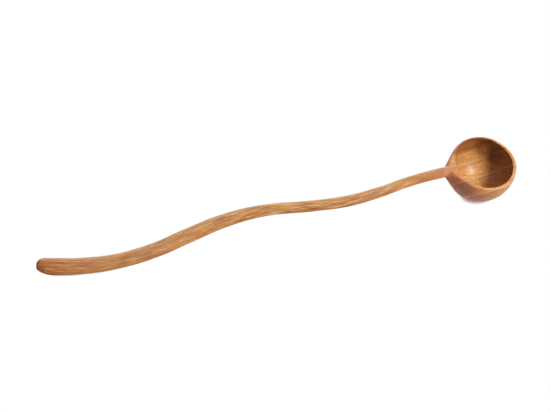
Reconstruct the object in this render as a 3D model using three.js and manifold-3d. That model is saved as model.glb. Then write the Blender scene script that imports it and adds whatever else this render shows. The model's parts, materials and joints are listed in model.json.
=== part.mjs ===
// A wooden measuring spoon in teak: a round bowl that holds two tablespoons, and a long wavy handle
// whose round tenon is glued into a socket in the bowl's neck.
// Millimetres, +Z up. The spoon lies on a table at z = 0, rolled a little onto its side, as it comes to
// rest when it is put down. The origin is on the table, under the middle of the spoon.

import * as THREE from 'three';
import { mergeVertices } from 'three/addons/utils/BufferGeometryUtils.js';
import Module from 'manifold-3d';

const wasm = await Module();
wasm.setup();

// Bowl, in its own frame: its ball is centred on the origin, its mouth faces +Z, its handle runs to -X
const BOWL_RADIUS = 24.2; // outside of the ball
const BOWL_WALL = 2.0; // wood left at the side
const BOWL_FLOOR = 3.4; // wood left at the bottom
const MOUTH_RISE = 6.1; // the mouth is cut this far above the ball's centre
const RIM_ROUND = 0.35; // radius on both edges of the rim
const BOWL_LEAN = 2.7; // the bottom lies this far towards the handle from under the centre

// Neck and glued joint
const NECK_STUB = 7.5; // from the ball to the joint
const NECK_RISE = 2.5; // the joint's middle is this far above the ball's centre
const NECK_FLARE = 6.0; // radius that sweeps the neck out into the ball
const NECK_SINK = 2.3; // how far the sweep's outer edge is let into the ball
const TENON_SHOULDER = 1.5; // ledge round the tenon
const TENON_CHAMFER = 0.5;
const SOCKET_FLOOR = 2.2; // wood left between the socket and the hollow
const GLUE_GAP = 0.3; // room for glue all round the tenon and at the shoulder

// Handle: stations along its middle line, from the joint to the free end
const STATION_STEPS = [0, 26, 24, 24, 26, 35, 30, 27, 25, 26, 24, 16, 15]; // from the station before
const WAVE_SIDES = [0, 1.7, 5.4, 7.1, 5.1, 0.7, 2.6, 8.5, 14.3, 16.7, 14.7, 11.5, 7.3]; // off the neck's line
const HANDLE_WIDTHS = [7.3, 7.3, 7.5, 8.5, 7.8, 8.5, 10.1, 11.0, 10.6, 10.7, 11.7, 12.6, 12.4];
const HANDLE_THICKNESSES = [7.0, 6.8, 6.8, 7.4, 7.2, 7.6, 8.4, 9.0, 9.0, 9.2, 9.8, 10.6, 10.4];
const HANDLE_DROOP = 4.2; // degrees that the handle falls away from the mouth's plane
const END_ROUND = 6.0; // length over which the free end rounds off
const END_FLAT = 0.3; // share of the section that is left flat at the tip

// How it lies
const REST_ROLL = 26.5; // degrees from mouth up
const REST_FLAT_DEPTH = 0.6; // depth of the small flat that the bowl rests on

// Fineness of the facets
const BOWL_SIDES = 44;
const NECK_SIDES = 28;
const HANDLE_SIDES = 20;
const BALL_STEPS = 20;
const FILLET_STEPS = 3;
const FLARE_STEPS = 5;
const END_STEPS = 6;
const HANDLE_RING = 4.5; // distance between rings along the handle

const CUT_MARGIN = 2; // how far a cutting solid reaches past what it cuts

const radians = THREE.MathUtils.degToRad;

// Closed mesh to solid, and back
function solid(geometry) {
  const bare = geometry.clone();
  bare.deleteAttribute('normal');
  bare.deleteAttribute('uv');
  const merged = mergeVertices(bare, 1e-4);
  const corners = [];
  const index = merged.index.array;
  for (let i = 0; i < index.length; i += 3) {
    const [a, b, c] = index.slice(i, i + 3);
    if (a !== b && b !== c && c !== a) {
      corners.push(a, b, c);
    }
  }
  const mesh = new wasm.Mesh({
    numProp: 3,
    vertProperties: new Float32Array(merged.attributes.position.array),
    triVerts: new Uint32Array(corners),
  });
  return new wasm.Manifold(mesh);
}

function surface(body) {
  const mesh = body.getMesh();
  const geometry = new THREE.BufferGeometry();
  geometry.setAttribute('position', new THREE.BufferAttribute(new Float32Array(mesh.vertProperties), 3));
  geometry.setIndex(new THREE.BufferAttribute(new Uint32Array(mesh.triVerts), 1));
  geometry.computeVertexNormals();
  return geometry;
}

function spot(x, y) {
  return new THREE.Vector2(x, y);
}

function arc(x, y, radius, start, end, steps) {
  return new THREE.EllipseCurve(x, y, radius, radius, start, end, end < start).getPoints(steps);
}

// A round solid on the Z axis, from a profile of (radius, height)
function turned(profile, sides) {
  return new THREE.LatheGeometry(profile, sides).rotateX(Math.PI / 2);
}

// The line of the neck and of the handle: it falls away from the mouth's plane as it leaves the bowl
const droop = radians(HANDLE_DROOP);
const along = new THREE.Vector3(-Math.cos(droop), 0, -Math.sin(droop));
const across = new THREE.Vector3(0, -1, 0);
const above = new THREE.Vector3(-Math.sin(droop), 0, Math.cos(droop));
const joint = new THREE.Vector3(-(BOWL_RADIUS + NECK_STUB), 0, NECK_RISE);

// The handle's middle line and its section, station by station
const middlePoints = [];
const sectionPoints = [];
let travelled = 0;
STATION_STEPS.forEach((step, i) => {
  travelled += step;
  const point = joint.clone();
  point.addScaledVector(along, travelled);
  point.addScaledVector(across, WAVE_SIDES[i]);
  middlePoints.push(point);
  sectionPoints.push(new THREE.Vector3(HANDLE_WIDTHS[i], HANDLE_THICKNESSES[i], 0));
});
const middleLine = new THREE.CatmullRomCurve3(middlePoints);
middleLine.arcLengthDivisions = 600;
const sections = new THREE.CatmullRomCurve3(sectionPoints);

const neckWidth = HANDLE_WIDTHS[0];
const neckThickness = HANDLE_THICKNESSES[0];
const tenonRadius = Math.min(neckWidth, neckThickness) / 2 - TENON_SHOULDER;
const socketDepth = NECK_STUB + BOWL_WALL - SOCKET_FLOOR;
const tenonLength = socketDepth - GLUE_GAP;
const blockSpan = 2 * (BOWL_RADIUS + NECK_STUB + CUT_MARGIN); // a cutting block that covers the bowl

// Sets a solid made on the Z axis at the joint: +Z runs into the bowl, +Y up from the handle's plane
const intoBowl = middleLine.getTangent(0).negate();
const jointSide = new THREE.Vector3().crossVectors(above, intoBowl).normalize();
const jointPlace = new THREE.Matrix4().makeBasis(jointSide, above, intoBowl).setPosition(middlePoints[0]);

// The ball, cut off flat at the mouth, with its outer edge rounded
function ballProfile() {
  const edgeY = MOUTH_RISE - RIM_ROUND;
  const edgeX = Math.sqrt((BOWL_RADIUS - RIM_ROUND) ** 2 - edgeY ** 2);
  const edgeAngle = Math.atan2(edgeY, edgeX);
  return [
    ...arc(0, 0, BOWL_RADIUS, -Math.PI / 2, edgeAngle, BALL_STEPS),
    ...arc(edgeX, edgeY, RIM_ROUND, edgeAngle, Math.PI / 2, FILLET_STEPS),
    spot(0, MOUTH_RISE),
  ];
}

// The hollow, with the rim's inner edge rounded, carried on past the mouth
function hollowProfile() {
  const radius = BOWL_RADIUS - BOWL_WALL;
  const centreY = BOWL_FLOOR - BOWL_WALL;
  const edgeY = MOUTH_RISE - RIM_ROUND;
  const edgeX = Math.sqrt((radius + RIM_ROUND) ** 2 - (edgeY - centreY) ** 2);
  const edgeAngle = Math.atan2(edgeY - centreY, edgeX);
  return [
    ...arc(0, centreY, radius, -Math.PI / 2, edgeAngle, BALL_STEPS),
    ...arc(edgeX, edgeY, RIM_ROUND, edgeAngle + Math.PI, Math.PI / 2, FILLET_STEPS),
    spot(edgeX, MOUTH_RISE + CUT_MARGIN),
    spot(0, MOUTH_RISE + CUT_MARGIN),
  ];
}

// The neck: a short stub at the joint that sweeps out until it lies along the ball
function neckProfile() {
  const ballAhead = middlePoints[0].clone().negate().dot(intoBowl) + NECK_SINK;
  const flareX = neckWidth / 2 + NECK_FLARE;
  const flareToBall = Math.sqrt((BOWL_RADIUS + NECK_FLARE) ** 2 - flareX ** 2);
  const flareY = ballAhead - flareToBall;
  const flareEnd = Math.atan2(flareToBall, -flareX);
  return [
    spot(0, GLUE_GAP),
    spot(neckWidth / 2, GLUE_GAP),
    ...arc(flareX, flareY, NECK_FLARE, Math.PI, flareEnd, FLARE_STEPS),
    spot(0, ballAhead),
  ];
}

function socketProfile() {
  return [
    spot(0, -CUT_MARGIN),
    spot(tenonRadius + GLUE_GAP, -CUT_MARGIN),
    spot(tenonRadius + GLUE_GAP, socketDepth),
    spot(0, socketDepth),
  ];
}

// The tenon starts a little inside the handle, so that the two are one piece of wood
function tenonProfile() {
  return [
    spot(0, -CUT_MARGIN),
    spot(tenonRadius, -CUT_MARGIN),
    spot(tenonRadius, tenonLength - TENON_CHAMFER),
    spot(tenonRadius - TENON_CHAMFER, tenonLength),
    spot(0, tenonLength),
  ];
}

// Everything above the mouth's plane
function aboveMouth() {
  const block = new THREE.BoxGeometry(blockSpan, blockSpan, blockSpan);
  return solid(block.translate(0, 0, MOUTH_RISE + blockSpan / 2));
}

function bowlBody() {
  const lean = new THREE.Matrix4().makeShear(0, 0, 0, 0, BOWL_LEAN / BOWL_RADIUS, 0);
  const ball = solid(turned(ballProfile(), BOWL_SIDES).applyMatrix4(lean));
  const hollow = solid(turned(hollowProfile(), BOWL_SIDES).applyMatrix4(lean));
  const oval = turned(neckProfile(), NECK_SIDES).scale(1, neckThickness / neckWidth, 1);
  const neck = solid(oval.applyMatrix4(jointPlace));
  const socket = solid(turned(socketProfile(), NECK_SIDES).applyMatrix4(jointPlace));
  return ball.add(neck).subtract(aboveMouth()).subtract(hollow).subtract(socket);
}

// The handle is turned as a straight spindle of radius 1, then each ring is set on the middle line and
// stretched to the section there
function handleBody() {
  const length = middleLine.getLength();
  const rings = Math.ceil((length - END_ROUND) / HANDLE_RING);
  const profile = [spot(0, 0)];
  for (let ring = 0; ring < rings; ring += 1) {
    profile.push(spot(1, (length - END_ROUND) * ring / rings));
  }
  const end = new THREE.EllipseCurve(END_FLAT, length - END_ROUND, 1 - END_FLAT, END_ROUND, 0, Math.PI / 2);
  profile.push(...end.getPoints(END_STEPS), spot(0, length));
  const spindle = new THREE.LatheGeometry(profile, HANDLE_SIDES);

  const spots = spindle.attributes.position;
  for (let i = 0; i < spots.count; i += 1) {
    const t = middleLine.getUtoTmapping(Math.min(spots.getY(i) / length, 1));
    const section = sections.getPoint(t);
    const tangent = middleLine.getTangent(t);
    const sideways = new THREE.Vector3().crossVectors(tangent, above).normalize();
    const place = middleLine.getPoint(t);
    place.addScaledVector(sideways, spots.getX(i) * section.x / 2);
    place.addScaledVector(above, spots.getZ(i) * section.y / 2);
    spots.setXYZ(i, place.x, place.y, place.z);
  }
  const tenon = turned(tenonProfile(), NECK_SIDES).applyMatrix4(jointPlace);
  return solid(spindle).add(solid(tenon));
}

// The turn from the spoon's own frame to the way it lies, for a given pitch of the handle
function lyingTurn(pitch) {
  return new THREE.Euler(radians(REST_ROLL), -pitch, 0, 'YXZ');
}

// A geometry's points, turned
function turnedPoints(geometry, turn) {
  const spots = geometry.clone().applyMatrix4(turn).attributes.position;
  return Array.from({ length: spots.count }, (_, i) => new THREE.Vector3().fromBufferAttribute(spots, i));
}

// The pitch that brings the handle and the bowl's flat down to the table together: the lowest of all lines that
// touch the handle from below and pass through a point of the bowl, raised by its flat's depth
function restPitch(bowl, handle) {
  const roll = new THREE.Matrix4().makeRotationFromEuler(lyingTurn(0));
  const stick = turnedPoints(handle, roll).filter((point) => point.x < joint.x);
  let slope = Infinity;
  for (const place of turnedPoints(bowl, roll).filter((point) => point.x > joint.x)) {
    const slopes = stick.map((point) => (place.z + REST_FLAT_DEPTH - point.z) / (place.x - point.x));
    slope = Math.min(slope, Math.max(...slopes));
  }
  return -Math.atan(slope);
}

// The wood of the bowl that would lie below the table, when the handle touches it
function belowTable(handle, pitch) {
  const turn = new THREE.Matrix4().makeRotationFromEuler(lyingTurn(pitch));
  const table = Math.min(...turnedPoints(handle, turn).map((point) => point.z));
  const block = new THREE.BoxGeometry(blockSpan, blockSpan, blockSpan).translate(0, 0, table - blockSpan / 2);
  return solid(block.applyMatrix4(turn.invert()));
}

const roundBowl = bowlBody();
const handleGeometry = surface(handleBody());
const pitch = restPitch(surface(roundBowl), handleGeometry);
const bowlGeometry = surface(roundBowl.subtract(belowTable(handleGeometry, pitch)));

const bowlTeak = new THREE.MeshStandardMaterial({ color: 0xa8672f, roughness: 0.5, metalness: 0 });
const bowl = new THREE.Mesh(bowlGeometry, bowlTeak);
bowl.name = 'bowl';
const handleTeak = new THREE.MeshStandardMaterial({ color: 0xb87a40, roughness: 0.5, metalness: 0 });
const handle = new THREE.Mesh(handleGeometry, handleTeak);
handle.name = 'handle';

const spoon = new THREE.Group();
spoon.add(bowl, handle);
spoon.setRotationFromEuler(lyingTurn(pitch));
spoon.updateMatrixWorld(true);
const box = new THREE.Box3().setFromObject(spoon, true);
const middle = box.getCenter(new THREE.Vector3());
spoon.position.set(-middle.x, -middle.y, -box.min.z);

const measuringSpoon = new THREE.Group();
measuringSpoon.add(spoon);

export default measuringSpoon;
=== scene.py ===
import json
import math

import bpy
from mathutils import Euler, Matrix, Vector


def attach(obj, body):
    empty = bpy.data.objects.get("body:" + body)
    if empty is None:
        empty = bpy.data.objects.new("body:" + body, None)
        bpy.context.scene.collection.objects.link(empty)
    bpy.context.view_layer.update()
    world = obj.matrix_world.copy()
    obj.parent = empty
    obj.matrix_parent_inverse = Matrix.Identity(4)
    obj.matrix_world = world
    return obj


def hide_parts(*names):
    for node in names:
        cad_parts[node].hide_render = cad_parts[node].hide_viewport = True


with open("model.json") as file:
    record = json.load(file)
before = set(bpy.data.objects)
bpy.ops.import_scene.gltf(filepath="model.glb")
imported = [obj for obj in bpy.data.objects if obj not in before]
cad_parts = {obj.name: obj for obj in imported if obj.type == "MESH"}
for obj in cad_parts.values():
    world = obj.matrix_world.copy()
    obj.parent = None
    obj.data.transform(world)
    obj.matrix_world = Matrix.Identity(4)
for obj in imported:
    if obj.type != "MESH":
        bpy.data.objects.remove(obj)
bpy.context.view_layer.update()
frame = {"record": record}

# A measuring spoon carved in teak, oiled, lying on a white table.
# Sizes are in millimetres, in the spoon's own frame: the bowl's ball is centred on the origin, its mouth
# faces +Z and the handle runs to -X. Both pieces are carved there and then laid on the table.

# Bowl
BOWL_RADIUS = 24.2
HOLLOW_RADIUS = 22.5
HOLLOW_RISE = 1.4  # the hollow's centre above the ball's centre
HOLLOW_ASIDE = (0.55, 0.4)  # how far the hollow was carved off centre, which makes the rim uneven
HOLLOW_SHORT = 0.96  # the hollow's length along the spoon, as a share of its width
MOUTH_RISE = 6.1
BOWL_LEAN = 2.7  # the bottom lies this far towards the handle
RIM_MIDDLE = 22.64  # from the middle of the mouth to the middle of the rim, without the lean

# Neck and glued joint
JOINT_OUT = 31.7  # from the ball's centre to the joint
JOINT_RISE = 2.5
DROOP = 4.2  # degrees that the handle falls away from the mouth's plane
SHOULDER_START = 3.8  # from the joint to where the neck begins to widen into the ball
SHOULDER_TILT = 30  # degrees: underneath, the neck begins to widen nearer to the handle
SHOULDER_SIZE = 1.2  # how much wider than the neck it is where it begins
SHOULDER_REACH = 4.4  # how far each way the corner there is sanded round
TENON_RADIUS = 2.0
TENON_LENGTH = 6.7
TENON_ROOT = 3.0  # how far the tenon reaches back into the handle
GLUE_GAP = 0.3
OVERCUT = 1.0  # how far the drill for the socket starts outside the wood

# Handle: stations from the joint to the free end
STATION_STEPS = [0, 26, 24, 24, 26, 35, 30, 27, 25, 26, 24, 16, 15]  # from the station before
WAVE_SIDES = [0, 1.7, 5.4, 7.1, 5.1, 0.7, 2.6, 8.5, 14.3, 16.7, 14.7, 11.5, 7.3]  # off the neck's line
HANDLE_WIDTHS = [7.3, 7.3, 7.5, 8.5, 7.8, 8.5, 10.1, 11.0, 10.6, 10.7, 11.7, 12.6, 12.4]
HANDLE_THICKNESSES = [7.0, 6.8, 6.8, 7.4, 7.2, 7.6, 8.4, 9.0, 9.0, 9.2, 9.8, 10.6, 10.4]
END_ROUND = 9.0  # length over which the free end rounds off
END_FLAT = 0.2  # share of the section that is left flat at the tip
END_ASIDE = Vector((0, -0.55, 0.4))  # the rounding's shift: the near lower edge is rounded off further
END_ANGLES = [25, 50, 70, 85]
LEAD_IN = 12.0  # spare length at the joint, cut off when the piece is fitted

# Hand work
CARVING_GRID = 0.4  # size of the faces that the bowl is carved in
SANDING_STROKES = 6  # over the whole bowl
SHOULDER_STROKES = 60  # over the corner between the neck and the ball
CARVED_LUMPS = 15.0  # size of the soft lumps that carving and sanding leave
CARVED_DEPTH = 0.24
CRISP_ANGLE = 50  # degrees: edges that turn further than this stay crisp

# Polish, from 0 for none
BOWL_SHEEN = 0.55
HANDLE_SHEEN = 0.3

# Table, with places along the lying spoon, from the middle of its length
TABLE_SIZE = 40000
HANDLE_SHADE = 1.2  # how far from the handle the table is in its shade
BOWL_SHADE = 3.2  # how far from the bowl
HANDLE_SHADE_END = 100
BOWL_SHADE_START = 135
LAMP_SIDE = (0.9, -0.1, 0.42)  # direction of the light that the spoon keeps off the table

# Camera and lamps
CAMERA_AZIMUTH = -19.35
CAMERA_ELEVATION = 30
CAMERA_AWAY = 1400
CAMERA_AIM = (7.76, 37.05, -0.63)
CAMERA_LENS = 127
LAMPS_AWAY = 2200


def mm(value):
    return value / 1000


def spot(x, y, z):
    return Vector((mm(x), mm(y), mm(z)))


# How the spoon lies: its rim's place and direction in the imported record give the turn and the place
rim = next(mount for mount in frame["record"]["mounts"] if mount["name"] == "rim")
mouth = Vector(rim["axis"])
LYING_TURN = Euler((math.asin(-mouth.y), math.atan2(mouth.x, mouth.z), 0))
rim_spot = spot(RIM_MIDDLE + BOWL_LEAN * MOUTH_RISE / BOWL_RADIUS, 0, MOUTH_RISE)
LYING_PLACE = Vector(rim["pos_m"]) - LYING_TURN.to_matrix() @ rim_spot

JOINT = spot(-JOINT_OUT, 0, JOINT_RISE)
ALONG = Vector((-math.cos(math.radians(DROOP)), 0, -math.sin(math.radians(DROOP))))


def start_clean():
    bpy.ops.object.select_all(action="DESELECT")


def take(piece):
    """Selects the piece alone."""
    start_clean()
    bpy.context.view_layer.objects.active = piece
    piece.select_set(True)


def leave_facing_out():
    """Turns all faces of the piece in edit mode outwards and leaves edit mode."""
    bpy.ops.mesh.select_all(action="SELECT")
    bpy.ops.mesh.normals_make_consistent(inside=False)
    bpy.ops.object.mode_set(mode="OBJECT")


def settle():
    """Puts the place, turn and size of the selected piece into its mesh."""
    bpy.ops.object.transform_apply(location=True, rotation=True, scale=True)
    return bpy.context.object


def finish_with(piece, kind, **settings):
    """Adds a modifier to the piece and applies it."""
    modifier = piece.modifiers.new(kind, kind)
    for name, value in settings.items():
        setattr(modifier, name, value)
    bpy.context.view_layer.objects.active = piece
    bpy.ops.object.modifier_apply(modifier=modifier.name)


def join_or_cut(piece, tool, operation):
    """Joins the tool to the piece or cuts it out of it, and takes the tool away."""
    finish_with(piece, "BOOLEAN", operation=operation, object=tool, solver="EXACT")
    bpy.data.objects.remove(tool)


def saw_off(piece, place, towards):
    """Saws the piece through at a plane and keeps the side that the direction points away from."""
    take(piece)
    bpy.ops.object.mode_set(mode="EDIT")
    bpy.ops.mesh.select_all(action="SELECT")
    bpy.ops.mesh.bisect(plane_co=place, plane_no=towards, use_fill=True, clear_outer=True,
                        threshold=mm(0.001))
    bpy.ops.object.mode_set(mode="OBJECT")


def lean(piece):
    for vertex in piece.data.vertices:
        vertex.co.x += vertex.co.z * BOWL_LEAN / BOWL_RADIUS


def ball(radius, centre):
    start_clean()
    bpy.ops.mesh.primitive_uv_sphere_add(segments=96, ring_count=64, radius=mm(radius), location=centre)
    return settle()


def neck_turn(tilt=0):
    """Turns +Z to point from the joint into the bowl, or tilted from that."""
    return (0, math.radians(90 - DROOP + tilt), 0)


def round_bar(radius, start, length):
    """A plain bar with a chamfered end, from a start on the joint's line into the bowl."""
    chamfer = radius / 4
    start_clean()
    bpy.ops.mesh.primitive_circle_add(vertices=40, radius=mm(radius), fill_type="NGON",
                                      rotation=neck_turn(), location=JOINT - ALONG * mm(start),
                                      enter_editmode=True)
    for stretch in (length - chamfer, chamfer):
        bpy.ops.mesh.extrude_region_move(TRANSFORM_OT_translate={"value": -ALONG * mm(stretch)})
    tip = JOINT - ALONG * mm(start + length)
    share = 1 - chamfer / radius
    bpy.ops.transform.resize(value=(share, share, share), center_override=tip)
    leave_facing_out()
    return settle()


def oval(place, size=1, tilt=0):
    """An oval disc of the neck's section or larger, square to the joint's line or tilted from that."""
    start_clean()
    bpy.ops.mesh.primitive_circle_add(vertices=64, radius=1, fill_type="NGON", location=place,
                                      rotation=neck_turn(tilt), enter_editmode=True)
    half_width = mm(HANDLE_WIDTHS[0] / 2 * size)
    half_thickness = mm(HANDLE_THICKNESSES[0] / 2 * size)
    bpy.ops.transform.resize(value=(half_thickness, half_width, half_thickness), center_override=place)
    bpy.ops.object.mode_set(mode="OBJECT")
    return settle()


def draw_out(body, disc):
    """Draws the ball out to a disc in the neck, like a drop."""
    take(body)
    disc.select_set(True)
    bpy.ops.object.join()
    bpy.ops.object.mode_set(mode="EDIT")
    bpy.ops.mesh.select_all(action="SELECT")
    bpy.ops.mesh.convex_hull()
    leave_facing_out()


def neck():
    """An oval bar from beyond the joint into the ball."""
    bar = oval(JOINT + ALONG * mm(LEAD_IN))
    bpy.ops.object.mode_set(mode="EDIT")
    bpy.ops.mesh.select_all(action="SELECT")
    length = LEAD_IN + JOINT_OUT - HOLLOW_RADIUS
    bpy.ops.mesh.extrude_region_move(TRANSFORM_OT_translate={"value": -ALONG * mm(length)})
    leave_facing_out()
    return bar


def hollow():
    """The rounded body that is carved out of the bowl."""
    centre = spot(*HOLLOW_ASIDE, HOLLOW_RISE)
    core = ball(HOLLOW_RADIUS, centre)
    bpy.ops.object.mode_set(mode="EDIT")
    bpy.ops.mesh.select_all(action="SELECT")
    bpy.ops.transform.resize(value=(HOLLOW_SHORT, 1, 1), center_override=centre)
    bpy.ops.object.mode_set(mode="OBJECT")
    return core


def sand_shoulder(piece):
    """Sands the corner between the neck and the ball to a smooth hollow."""
    corner = piece.vertex_groups.new(name="shoulder")
    middle = JOINT - ALONG * mm(SHOULDER_START)
    for vertex in piece.data.vertices:
        off = abs((vertex.co - middle).dot(ALONG)) / mm(SHOULDER_REACH)
        corner.add([vertex.index], max(0, 1 - off), "REPLACE")
    finish_with(piece, "SMOOTH", factor=0.5, iterations=SHOULDER_STROKES, vertex_group="shoulder")


def hand_carve(piece):
    """Soft low lumps, as carving and sanding by hand leave them, that run on over the joint."""
    lumps = bpy.data.textures.get("carved_lumps") or bpy.data.textures.new("carved_lumps", "CLOUDS")
    lumps.noise_scale = mm(CARVED_LUMPS)
    lumps.noise_depth = 1
    finish_with(piece, "DISPLACE", texture=lumps, texture_coords="LOCAL", strength=mm(CARVED_DEPTH))


def mark_grain(piece, places):
    """Keeps where each point lay in the straight board, in millimetres, for the grain to follow."""
    marks = piece.data.attributes.new("grain", "FLOAT_VECTOR", "POINT")
    for mark, place in zip(marks.data, places):
        mark.vector = place * 1000


def lay_down(piece):
    """Turns the piece to lie as in the photograph and takes off what would be below the table."""
    piece.rotation_euler = LYING_TURN
    piece.location = LYING_PLACE
    take(piece)
    settle()
    saw_off(piece, (0, 0, 0), (0, 0, -1))
    bpy.ops.object.shade_smooth_by_angle(angle=math.radians(CRISP_ANGLE))


def carve_bowl():
    bowl = ball(BOWL_RADIUS, (0, 0, 0))
    bowl.name = "carved_bowl"
    bowl.data.name = "carved_bowl"
    lean(bowl)
    draw_out(bowl, oval(JOINT - ALONG * mm(SHOULDER_START), SHOULDER_SIZE, SHOULDER_TILT))
    join_or_cut(bowl, neck(), "UNION")
    saw_off(bowl, spot(0, 0, MOUTH_RISE), (0, 0, 1))
    join_or_cut(bowl, hollow(), "DIFFERENCE")
    finish_with(bowl, "REMESH", mode="VOXEL", voxel_size=mm(CARVING_GRID))
    finish_with(bowl, "SMOOTH", factor=0.5, iterations=SANDING_STROKES)
    sand_shoulder(bowl)
    hand_carve(bowl)
    saw_off(bowl, JOINT, ALONG)
    socket = round_bar(TENON_RADIUS + GLUE_GAP, -OVERCUT, TENON_LENGTH + GLUE_GAP + OVERCUT)
    join_or_cut(bowl, socket, "DIFFERENCE")
    mark_grain(bowl, [vertex.co.copy() for vertex in bowl.data.vertices])
    lay_down(bowl)
    return bowl


def straight_stick(spans):
    """The handle before it is bent: rings of the oval section along +X, with a rounded end."""
    start_clean()
    bpy.ops.mesh.primitive_circle_add(vertices=32, radius=1, fill_type="NGON",
                                      rotation=(0, math.radians(90), 0), enter_editmode=True)
    half_width = HANDLE_WIDTHS[0] / 2
    half_thickness = HANDLE_THICKNESSES[0] / 2
    bpy.ops.transform.resize(value=(1, mm(half_width), mm(half_thickness)), center_override=(0, 0, 0))
    rings = []
    reach = LEAD_IN
    for span, width, thickness in zip(spans, HANDLE_WIDTHS, HANDLE_THICKNESSES):
        reach += span
        rings.append([spot(reach, 0, 0), width / 2, thickness / 2])
    end_start = spot(reach - END_ROUND, 0, 0)
    rings[-1][0] = end_start
    for angle in END_ANGLES:
        turn = math.radians(angle)
        share = END_FLAT + (1 - END_FLAT) * math.cos(turn)
        middle = end_start + spot(END_ROUND * math.sin(turn), 0, 0) + END_ASIDE * mm(math.sin(2 * turn))
        rings.append([middle, HANDLE_WIDTHS[-1] / 2 * share, HANDLE_THICKNESSES[-1] / 2 * share])
    here = Vector((0, 0, 0))
    for middle, next_width, next_thickness in rings:
        bpy.ops.mesh.extrude_region_move(TRANSFORM_OT_translate={"value": middle - here})
        here = middle
        ratio = (1, next_width / half_width, next_thickness / half_thickness)
        bpy.ops.transform.resize(value=ratio, center_override=here)
        half_width = next_width
        half_thickness = next_thickness
    leave_facing_out()
    return settle()


def wave_line(points):
    """The wavy line that the stick is bent to."""
    start_clean()
    bpy.ops.curve.primitive_bezier_curve_add(enter_editmode=True)
    bpy.ops.curve.select_all(action="SELECT")
    bpy.ops.curve.delete(type="VERT")
    for point in points:
        bpy.ops.curve.vertex_add(location=point)
    bpy.ops.curve.select_all(action="SELECT")
    bpy.ops.curve.handle_type_set(type="AUTOMATIC")
    bpy.ops.object.mode_set(mode="OBJECT")
    line = bpy.context.object
    line.data.twist_mode = "Z_UP"
    line.data.resolution_u = 40
    return line


def shave_handle():
    points = [JOINT - ALONG * mm(LEAD_IN)]
    travelled = 0
    for step, side in zip(STATION_STEPS, WAVE_SIDES):
        travelled += step
        points.append(JOINT + ALONG * mm(travelled) + spot(0, -side, 0))
    spans = [0]
    for before, after in zip(points[1:], points[2:]):
        spans.append((after - before).length * 1000)

    handle = straight_stick(spans)
    handle.name = "shaved_handle"
    handle.data.name = "shaved_handle"
    finish_with(handle, "SUBSURF", levels=3, render_levels=3)
    # the stick's +X is the board's -X, and the board's grain runs on from the bowl
    stick_start = spot(LEAD_IN - JOINT_OUT, 0, JOINT_RISE)
    straight = [vertex.co for vertex in handle.data.vertices]
    mark_grain(handle, [stick_start + Vector((-co.x, -co.y, co.z)) for co in straight])
    line = wave_line(points)
    finish_with(handle, "CURVE", object=line, deform_axis="POS_X")
    bpy.data.objects.remove(line)
    hand_carve(handle)
    saw_off(handle, JOINT, -ALONG)
    join_or_cut(handle, round_bar(TENON_RADIUS, -TENON_ROOT, TENON_LENGTH + TENON_ROOT), "UNION")
    lay_down(handle)
    return handle


def linear(code):
    """An sRGB hex colour as linear values."""
    shares = [int(code[i:i + 2], 16) / 255 for i in (1, 3, 5)]
    return [c / 12.92 if c <= 0.04045 else ((c + 0.055) / 1.055) ** 2.4 for c in shares] + [1]


def add(tree, kind, inputs, **settings):
    """Adds a node: inputs are values or the sockets that feed it, settings are its own properties."""
    node = tree.nodes.new(kind)
    for name, value in settings.items():
        setattr(node, name, value)
    for name, value in inputs.items():
        if isinstance(value, bpy.types.NodeSocket):
            tree.links.new(value, node.inputs[name])
        else:
            node.inputs[name].default_value = value
    return node


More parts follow.
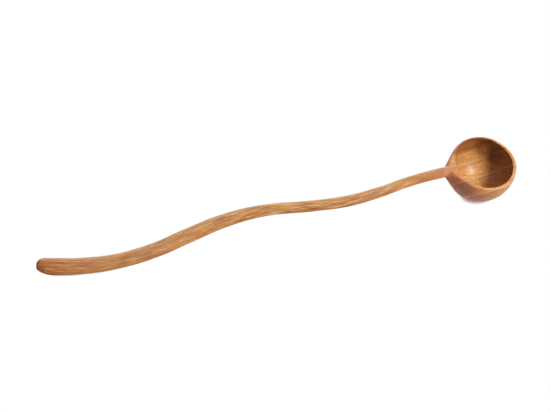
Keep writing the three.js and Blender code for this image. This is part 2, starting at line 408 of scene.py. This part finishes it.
def oiled_teak(name, sheen):
    """Teak, carved along the grain, sanded and rubbed with oil: golden brown with pinkish and pale
    streaks along the grain, a darker line at each year's growth, short dark pores, and a soft low sheen.
    The bowl is calmer and better polished, the handle browner and more strongly streaked. Places and
    sizes are in millimetres in the straight board, whose X runs along the spoon."""
    material = bpy.data.materials.new(name)
    material.use_nodes = True
    tree = material.node_tree
    shader = tree.nodes["Principled BSDF"]
    grain = add(tree, "ShaderNodeAttribute", {}, attribute_name="grain").outputs["Vector"]
    board = add(tree, "ShaderNodeSeparateXYZ", {"Vector": grain})
    length = board.outputs["X"]
    rise = board.outputs["Z"]

    # what changes along the spoon: a start and its value, an end and its value, which may be an earlier
    # change
    changes = {}
    for trait, start, start_value, end, end_value in (
        # from the bowl to the handle, across the joint
        ("thirst_and_shade", -20, 0.7, -38, 0.0),
        ("pinkness", -20, 0.45, -38, 0.85),
        ("open_pores", -20, 0.55, -38, 0.3),
        ("growth_lines", -20, 0.75, -38, 0.2),
        ("spring_wood", -20, 0.35, -38, 0.05),
        # the neck, like the handle, is not polished as well as the bowl
        ("dullness", -18, 0.35, -26, 0.54),
        # the streaks are strongest in the handle's thin half
        ("calm_end", -130, 1.0, -240, 0.55),
        ("figure", -45, 0.5, -100, "calm_end"),
        # the rim is pale as far as the neck; it is less pale at the far end, which is painted shade on
        # that side of the rim
        ("far_rim_shade", 18, 0.55, 25, 0.1),
        ("pale_rim", -32, 0.0, -20, "far_rim_shade"),
    ):
        end_value = changes.get(end_value, end_value)
        ramp = add(tree, "ShaderNodeMapRange", {"Value": length, "From Min": start, "To Min": start_value,
                                                "From Max": end, "To Max": end_value})
        changes[trait] = ramp.outputs[0]

    # patterns drawn out along the grain: their length, their width and how rough they are
    patterns = {}
    for pattern, long, wide, roughness in (
        ("patches", 60, 12, 0.5),
        ("bands", 16, 3.5, 0.5),
        ("streaks", 14, 0.8, 0.6),
    ):
        drawn = add(tree, "ShaderNodeVectorMath", {0: grain, 1: (1 / long, 1 / wide, 1 / wide)},
                    operation="MULTIPLY")
        noise = add(tree, "ShaderNodeTexNoise", {"Vector": drawn.outputs[0], "Scale": 1, "Detail": 2,
                                                 "Roughness": roughness})
        patterns[pattern] = noise.outputs["Fac"]
    streaks = patterns["streaks"]

    # pores, 2 mm long and drawn 0.7 mm wide, because real ones of 0.2 mm would not show
    tubes = add(tree, "ShaderNodeVectorMath", {0: grain, 1: (1 / 4.5, 1 / 1.7, 1 / 1.7)},
                operation="MULTIPLY")
    pore = add(tree, "ShaderNodeTexVoronoi", {"Vector": tubes.outputs[0], "Scale": 1})
    pores = add(tree, "ShaderNodeMapRange", {"Value": pore.outputs["Distance"],
                                             "From Min": 0.26, "From Max": 0.12,
                                             "To Max": changes["open_pores"]}).outputs[0]

    # growth layers, 12 mm apart and nearly flat, as the pith lay 197 mm to the side; they sway with the
    # broad patches, and in the bowl they slope along the spoon
    from_pith = add(tree, "ShaderNodeVectorMath", {0: grain, 1: (0, 171.2, 97.5)}, operation="ADD")
    ring_plane = add(tree, "ShaderNodeVectorMath", {0: from_pith.outputs[0], 1: (0, 1, 1)},
                     operation="MULTIPLY")
    ring_radius = add(tree, "ShaderNodeVectorMath", {0: ring_plane.outputs[0]}, operation="LENGTH")
    slope = add(tree, "ShaderNodeMapRange", {"Value": length, "From Min": -35, "To Min": 5.0,
                                             "From Max": 30, "To Max": -4.3})
    sloped = add(tree, "ShaderNodeMath", {0: ring_radius.outputs["Value"], 1: slope.outputs[0]},
                 operation="ADD")
    sway = add(tree, "ShaderNodeMath", {0: patterns["patches"], 1: 2.0}, operation="MULTIPLY")
    layers = add(tree, "ShaderNodeMath", {0: sloped.outputs[0], 1: sway.outputs[0]},
                 operation="ADD").outputs[0]
    years = add(tree, "ShaderNodeMath", {0: layers, 1: 12}, operation="DIVIDE")
    season = add(tree, "ShaderNodeMath", {0: years.outputs[0]}, operation="FRACT").outputs[0]
    # one paler year, which runs through the bottom of the bowl
    off_year = add(tree, "ShaderNodeMath", {0: layers, 1: 186}, operation="SUBTRACT")
    from_year = add(tree, "ShaderNodeMath", {0: off_year.outputs[0]}, operation="ABSOLUTE").outputs[0]

    # painted shade: a dark patch on the bowl's far side, below the rim, where the hollow lies in shade
    far_shade_distance = add(tree, "ShaderNodeVectorMath", {0: grain, 1: (14, 17, -2)}, operation="DISTANCE")
    far_shade_below_rim = add(tree, "ShaderNodeMapRange", {"Value": rise, "From Min": 5.8, "From Max": 4.6,
                                                 "To Max": 0.6}).outputs[0]
    # painted shade: a redder, darker patch on the bowl's near lower side and under the neck, which lie in
    # shade
    near_shade_distance = add(tree, "ShaderNodeVectorMath", {0: grain, 1: (-26, -17, -7)}, operation="DISTANCE")

    # end grain, where the fibres run into the surface, drinks more oil; in the bowl it is made dark enough
    # to stand in for the shade on the hollow's wall at the end away from the handle, so there it is partly
    # painted shade
    surface = add(tree, "ShaderNodeNewGeometry", {})
    facing = add(tree, "ShaderNodeSeparateXYZ", {"Vector": surface.outputs["Normal"]})
    into_fibres = add(tree, "ShaderNodeMath", {0: facing.outputs["X"]}, operation="ABSOLUTE").outputs[0]

    # each tone: what it follows, where it begins, where it is full, how much then shows, and its colour
    colour = linear("#cf9344")
    for followed, begins, full, strength, tone in (
        (length, -20, -38, 1.0, "#c48a4c"),  # browner handle
        (patterns["patches"], 0.45, 0.65, 0.7, "#d49b4e"),  # golden patches
        (patterns["bands"], 0.42, 0.62, changes["pinkness"], "#b6774b"),  # pinkish bands
        (season, 0.6, 1.0, 0.3, "#a2663a"),  # wood grown late in each year
        (from_year, 6, 5.2, 0.4, "#e4a868"),  # the paler year
        (near_shade_distance.outputs["Value"], 30, 11, 0.75, "#c86444"),  # painted shade, redder, near the neck
        (length, -150, -335, 0.1, "#aa6638"),  # darkened by hands towards the free end
        (into_fibres, 0.42, 0.9, changes["thirst_and_shade"], "#7a3e24"),  # end grain, in the bowl partly painted shade
        (length, -300, -330, 0.65, "#b66330"),  # oiled free end
        (rise, 4.6, 5.8, changes["pale_rim"], "#e8a262"),  # paler wood where the rim is cut, less pale at the far end as painted shade
        (streaks, 0.53, 0.68, changes["figure"], "#e8c094"),  # pale streaks
        (streaks, 0.47, 0.32, changes["figure"], "#8f5a31"),  # dark streaks
        (season, 0.22, 0.1, changes["spring_wood"], "#e0b485"),  # pale wood after each growth line
        (season, 0.05, 0.0, changes["growth_lines"], "#6a3d22"),  # growth lines
        (layers, 212.5, 215, 0.68, "#944826"),  # redder wood on the side away from the pith
        (far_shade_distance.outputs["Value"], 14, 8, far_shade_below_rim, "#4a2416"),  # painted shade on the far side
        (pores, 0, 1, 1.0, "#583218"),  # pores
    ):
        share = add(tree, "ShaderNodeMapRange", {"Value": followed, "From Min": begins, "From Max": full,
                                                 "To Max": strength})
        mixed = add(tree, "ShaderNodeMix", {0: share.outputs[0], 6: colour, 7: linear(tone)},
                    data_type="RGBA")
        colour = mixed.outputs[2]
    tree.links.new(colour, shader.inputs["Base Color"])

    # the sheen is broken along the fibres, and they and the open pores leave 0.12 mm of relief at most
    rough = add(tree, "ShaderNodeMath", {0: streaks, 1: 0.16, 2: changes["dullness"]},
                operation="MULTIPLY_ADD")
    tree.links.new(rough.outputs[0], shader.inputs["Roughness"])
    shader.inputs["Specular IOR Level"].default_value = sheen
    height = add(tree, "ShaderNodeMath", {0: streaks, 1: pores}, operation="SUBTRACT")
    bump = add(tree, "ShaderNodeBump", {"Height": height.outputs[0], "Strength": 0.35,
                                        "Distance": mm(0.12)})
    tree.links.new(bump.outputs[0], shader.inputs["Normal"])
    return material


def white_table():
    """White paper, lit until it is all white but for a little brownish shade beside the spoon. Light that
    it throws back on the spoon is that of plain paper."""
    start_clean()
    bpy.ops.mesh.primitive_plane_add(size=mm(TABLE_SIZE))
    table = bpy.context.object
    table.name = "table"
    material = bpy.data.materials.new("white_paper_table")
    material.use_nodes = True
    tree = material.node_tree
    tree.nodes.remove(tree.nodes["Principled BSDF"])
    paper = add(tree, "ShaderNodeBsdfDiffuse", {"Color": linear("#cbb5a8")})

    # the shade, where the spoon hides the lamp's side, reaches less far from the handle than from the bowl
    place = add(tree, "ShaderNodeTexCoord", {})
    along = add(tree, "ShaderNodeSeparateXYZ", {"Vector": place.outputs["Object"]})
    reach = add(tree, "ShaderNodeMapRange", {"Value": along.outputs["X"],
                                             "From Min": mm(HANDLE_SHADE_END), "To Min": mm(HANDLE_SHADE),
                                             "From Max": mm(BOWL_SHADE_START), "To Max": mm(BOWL_SHADE)})
    lamp_side = add(tree, "ShaderNodeCombineXYZ", dict(zip("XYZ", LAMP_SIDE)))
    open_side = add(tree, "ShaderNodeAmbientOcclusion",
                    {"Distance": reach.outputs[0], "Normal": lamp_side.outputs[0]}, samples=32)
    light = add(tree, "ShaderNodeMapRange", {"Value": open_side.outputs["AO"], "From Min": 0.3,
                                             "From Max": 0.75})
    tint = add(tree, "ShaderNodeMix", {0: light.outputs[0], 6: linear("#a08074"), 7: linear("#ffffff")},
               data_type="RGBA")
    white = add(tree, "ShaderNodeEmission", {"Color": tint.outputs[2], "Strength": 1})

    # the camera, and what mirrors the table, sees it white
    path = add(tree, "ShaderNodeLightPath", {})
    seen = path.outputs["Is Camera Ray"]
    for ray in ("Is Glossy Ray", "Is Transmission Ray"):
        either = add(tree, "ShaderNodeMath", {0: seen, 1: path.outputs[ray]}, operation="MAXIMUM")
        seen = either.outputs[0]
    mixed = add(tree, "ShaderNodeMixShader", {0: seen, 1: paper.outputs[0], 2: white.outputs[0]})
    tree.links.new(mixed.outputs[0], tree.nodes["Material Output"].inputs["Surface"])
    table.data.materials.append(material)


def studio(camera):
    """A narrow softbox to the right of the camera, a weak one to its left, a broad one above and behind
    the spoon, and a little even light from all round."""
    world = bpy.data.worlds.new("studio")
    bpy.context.scene.world = world
    world.use_nodes = True
    even_light = world.node_tree.nodes["Background"]
    even_light.inputs["Color"].default_value = linear("#fffdfa")
    even_light.inputs["Strength"].default_value = 0.03

    # towards each lamp, as right, up and back from the camera, with its width and height in metres and
    # its power
    lamps = [
        ("softbox_right", (0.62, 0.23, 0.75), 0.3, 0.55, 51),
        ("softbox_left", (-0.5, 0.5, 0.7), 1.0, 1.0, 4),
        ("softbox_above", (-0.15, 0.88, -0.45), 1.5, 1.5, 46),
    ]
    turn = camera.rotation_euler.to_matrix()
    for name, towards, width, height, power in lamps:
        start_clean()
        away = (turn @ Vector(towards)).normalized()
        bpy.ops.object.light_add(type="AREA", location=LYING_PLACE + away * mm(LAMPS_AWAY))
        lamp = bpy.context.object
        lamp.name = name
        lamp.rotation_euler = away.to_track_quat("Z", "Y").to_euler()
        lamp.data.shape = "ELLIPSE"
        lamp.data.size = width
        lamp.data.size_y = height
        lamp.data.energy = power


def photo_camera():
    azimuth = math.radians(CAMERA_AZIMUTH)
    elevation = math.radians(CAMERA_ELEVATION)
    flat = math.cos(elevation)
    back = Vector((math.sin(azimuth) * flat, -math.cos(azimuth) * flat, math.sin(elevation)))
    start_clean()
    bpy.ops.object.camera_add(location=spot(*CAMERA_AIM) + back * mm(CAMERA_AWAY),
                              rotation=back.to_track_quat("Z", "Y").to_euler())
    camera = bpy.context.object
    camera.data.lens = CAMERA_LENS
    bpy.context.scene.camera = camera
    return camera


bowl = carve_bowl()
handle = shave_handle()
bowl.data.materials.append(oiled_teak("oiled_teak_carved_bowl", BOWL_SHEEN))
handle.data.materials.append(oiled_teak("oiled_teak_shaved_handle", HANDLE_SHEEN))
for piece, node, finish in ((bowl, "bowl", "bowl_teak"), (handle, "handle", "handle_teak")):
    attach(piece, "root")
    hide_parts(node)

white_table()
studio(photo_camera())
bpy.context.scene.view_settings.view_transform = "Standard"
